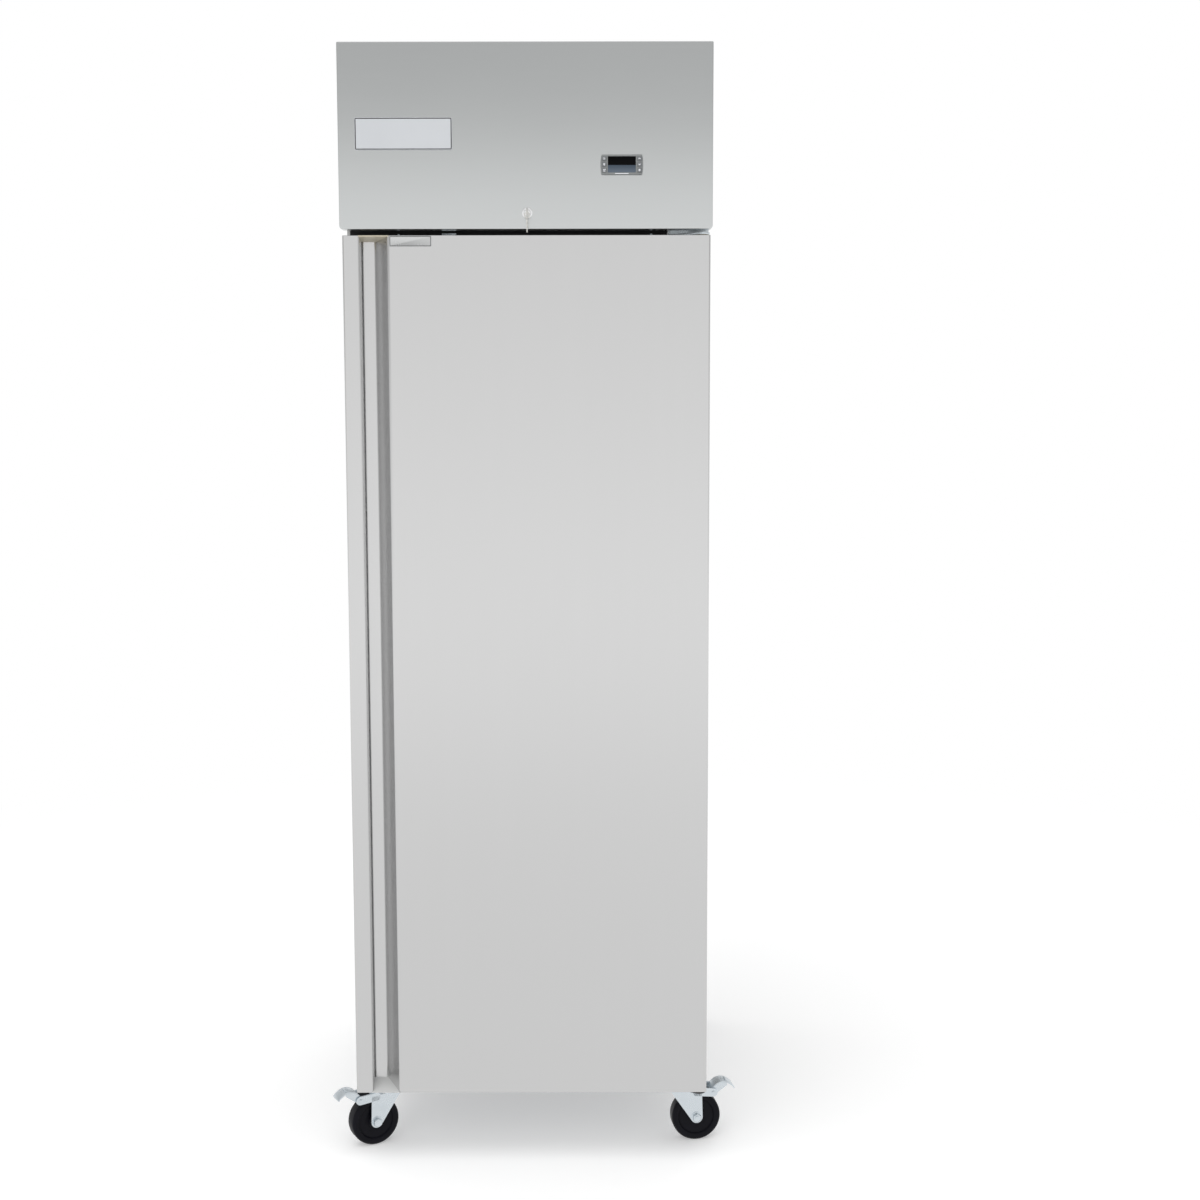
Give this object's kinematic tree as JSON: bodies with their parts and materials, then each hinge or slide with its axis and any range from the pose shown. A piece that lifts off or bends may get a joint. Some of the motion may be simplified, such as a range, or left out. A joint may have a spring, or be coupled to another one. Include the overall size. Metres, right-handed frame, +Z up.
{
  "type": "upright freezer",
  "caption": "Upright reach-in freezer with one hinged door, full-length pocket handle, machine compartment on top, wire shelves and swivel casters.",
  "frame": {"origin": "on the floor under the middle of the cabinet with its door", "axes": "+Z up, the door faces -Y, +X is the hinge side"},
  "size_m": [0.8036, 0.8371, 2.122],
  "materials": {
    "stainless": "satin",
    "liner_metal": "satin",
    "galvanised": "matte",
    "white_metal": "satin",
    "foam": "matte",
    "grey_plastic": "satin",
    "cream_plastic": "satin",
    "black_window": "gloss",
    "button_plastic": "satin",
    "gasket_rubber": "matte",
    "zinc": "satin",
    "plate_metal": "satin",
    "shelf_coating": "satin",
    "fin_metal": "satin",
    "black_enamel": "satin",
    "fan_plastic": "satin",
    "copper": "satin",
    "wheel_rubber": "satin",
    "lock_chrome": "polished",
    "key_nickel": "satin"
  },
  "bodies": {
    "cabinet": {"side_panel_left": "stainless", "side_panel_right": "stainless", "back_panel": "galvanised", "bottom_panel": "galvanised", "roof_panel": "stainless", "foam_insulation": "foam", "inner_liner": "liner_metal", "breaker_strip": "grey_plastic", "shelf_pilasters": "zinc", "shelf_clips": "zinc", "evaporator_housing": "white_metal", "evaporator_coil": "fin_metal", "fan_motors": "black_enamel", "unit_base": "galvanised", "condenser_coil": "fin_metal", "fan_shroud": "galvanised", "compressor": "black_enamel", "electrical_box": "galvanised", "cord_gland": "fan_plastic", "refrigerant_lines": "copper", "caster_plates": "zinc", "cabinet_screws": "zinc", "hinge_top": "zinc", "hinge_bottom": "zinc"},
    "cold_fan": {"evaporator_fan_blade": "fan_plastic"},
    "hot_fan": {"condenser_fan_blade": "fan_plastic"},
    "lower_shelf": {"shelf_lower": "shelf_coating"},
    "middle_shelf": {"shelf_middle": "shelf_coating"},
    "top_shelf": {"shelf_top": "shelf_coating"},
    "door": {"door_outer_skin": "stainless", "door_foam": "foam", "door_liner": "liner_metal", "door_gasket": "gasket_rubber", "handle_caps": "cream_plastic", "door_tag": "plate_metal", "hinge_bushes": "cream_plastic"},
    "cover": {"cover_panel": "stainless", "nameplate": "plate_metal", "control_bezel": "grey_plastic", "display_window": "black_window", "lock_barrel": "lock_chrome"},
    "lock": {"lock_plug": "lock_chrome"},
    "key_body": {"key": "key_nickel"},
    "spare": {"spare_key": "key_nickel"},
    "snow_key": {"button_snow": "button_plastic"},
    "lamp_key": {"button_lamp": "button_plastic"},
    "defrost_key": {"button_defrost": "button_plastic"},
    "up_key": {"button_up": "button_plastic"},
    "down_key": {"button_down": "button_plastic"},
    "set_key": {"button_set": "button_plastic"},
    "caster_front_left": {"fork_front_left": "zinc"},
    "roller_front_left": {"wheel_front_left": "wheel_rubber"},
    "brake_front_left": {"pedal_front_left": "zinc"},
    "caster_front_right": {"fork_front_right": "zinc"},
    "roller_front_right": {"wheel_front_right": "wheel_rubber"},
    "brake_front_right": {"pedal_front_right": "zinc"},
    "caster_back_left": {"fork_back_left": "zinc"},
    "roller_back_left": {"wheel_back_left": "wheel_rubber"},
    "caster_back_right": {"fork_back_right": "zinc"},
    "roller_back_right": {"wheel_back_right": "wheel_rubber"}
  },
  "joints": [
    {"name": "door_swing", "type": "hinge", "parent": "cabinet", "child": "door", "pos_m": [0.327, -0.345, 0.95], "axis": [0, 0, 1], "range_deg": [0, 110]},
    {"name": "cover_lift", "type": "hinge", "parent": "cabinet", "child": "cover", "pos_m": [0, -0.29, 2.1], "axis": [-1, 0, 0], "range_deg": [0, 70]},
    {"name": "lock_turn", "type": "hinge", "parent": "cover", "child": "lock", "pos_m": [0.0025, -0.3895, 1.816], "axis": [0, 1, 0], "range_deg": [0, 90]},
    {"name": "key_pull", "type": "slide", "parent": "lock", "child": "key_body", "axis": [0, -1, 0], "range_m": [0, 0.016]},
    {"name": "spare_key_hang", "type": "hinge", "parent": "key_body", "child": "spare", "pos_m": [0.0025, -0.4011, 1.8102], "axis": [0, 1, 0], "range_deg": [-90, 0]},
    {"name": "evaporator_fan_spin", "type": "hinge", "parent": "cabinet", "child": "cold_fan", "pos_m": [0, -0.1, 1.654], "axis": [0, -1, 0], "continuous": true},
    {"name": "condenser_fan_spin", "type": "hinge", "parent": "cabinet", "child": "hot_fan", "pos_m": [-0.15, 0.025, 1.94], "axis": [-1, 0, 0], "continuous": true},
    {"name": "lower_shelf_lift", "type": "slide", "parent": "cabinet", "child": "lower_shelf", "axis": [0, 0, 1], "range_m": [0, 0.04]},
    {"name": "middle_shelf_lift", "type": "slide", "parent": "cabinet", "child": "middle_shelf", "axis": [0, 0, 1], "range_m": [0, 0.04]},
    {"name": "top_shelf_lift", "type": "slide", "parent": "cabinet", "child": "top_shelf", "axis": [0, 0, 1], "range_m": [0, 0.04]},
    {"name": "press_snow", "type": "slide", "parent": "cover", "child": "snow_key", "axis": [0, 1, 0], "range_m": [0, 0.0008], "stiffness_N_per_m": 600, "springref_m": -0.0006},
    {"name": "press_lamp", "type": "slide", "parent": "cover", "child": "lamp_key", "axis": [0, 1, 0], "range_m": [0, 0.0008], "stiffness_N_per_m": 600, "springref_m": -0.0006},
    {"name": "press_defrost", "type": "slide", "parent": "cover", "child": "defrost_key", "axis": [0, 1, 0], "range_m": [0, 0.0008], "stiffness_N_per_m": 600, "springref_m": -0.0006},
    {"name": "press_up", "type": "slide", "parent": "cover", "child": "up_key", "axis": [0, 1, 0], "range_m": [0, 0.0008], "stiffness_N_per_m": 600, "springref_m": -0.0006},
    {"name": "press_down", "type": "slide", "parent": "cover", "child": "down_key", "axis": [0, 1, 0], "range_m": [0, 0.0008], "stiffness_N_per_m": 600, "springref_m": -0.0006},
    {"name": "press_set", "type": "slide", "parent": "cover", "child": "set_key", "axis": [0, 1, 0], "range_m": [0, 0.0008], "stiffness_N_per_m": 600, "springref_m": -0.0006},
    {"name": "swivel_front_left", "type": "hinge", "parent": "cabinet", "child": "caster_front_left", "pos_m": [-0.288, -0.27, 0.115], "axis": [0, 0, 1], "continuous": true},
    {"name": "roll_front_left", "type": "hinge", "parent": "caster_front_left", "child": "roller_front_left", "pos_m": [-0.31979, -0.2869, 0.049], "axis": [0.4695, -0.8829, 0], "continuous": true},
    {"name": "brake_front_left", "type": "hinge", "parent": "caster_front_left", "child": "brake_front_left", "pos_m": [-0.34981, -0.30286, 0.098], "axis": [0.4695, -0.8829, 0], "range_deg": [0, 20]},
    {"name": "swivel_front_right", "type": "hinge", "parent": "cabinet", "child": "caster_front_right", "pos_m": [0.288, -0.27, 0.115], "axis": [0, 0, 1], "continuous": true},
    {"name": "roll_front_right", "type": "hinge", "parent": "caster_front_right", "child": "roller_front_right", "pos_m": [0.3236, -0.26468, 0.049], "axis": [-0.1478, 0.989, 0], "continuous": true},
    {"name": "brake_front_right", "type": "hinge", "parent": "caster_front_right", "child": "brake_front_right", "pos_m": [0.35723, -0.25965, 0.098], "axis": [-0.1478, 0.989, 0], "range_deg": [0, 20]},
    {"name": "swivel_back_left", "type": "hinge", "parent": "cabinet", "child": "caster_back_left", "pos_m": [-0.288, 0.363, 0.115], "axis": [0, 0, 1], "continuous": true},
    {"name": "roll_back_left", "type": "hinge", "parent": "caster_back_left", "child": "roller_back_left", "pos_m": [-0.32063, 0.37821, 0.049], "axis": [-0.4226, -0.9063, 0], "continuous": true},
    {"name": "swivel_back_right", "type": "hinge", "parent": "cabinet", "child": "caster_back_right", "pos_m": [0.288, 0.363, 0.115], "axis": [0, 0, 1], "continuous": true},
    {"name": "roll_back_right", "type": "hinge", "parent": "caster_back_right", "child": "roller_back_right", "pos_m": [0.31558, 0.38614, 0.049], "axis": [-0.6428, 0.766, 0], "continuous": true}
  ],
  "couplings": [
    {"joint": "spare_key_hang", "follows": "lock_turn", "ratio": -1}
  ]
}
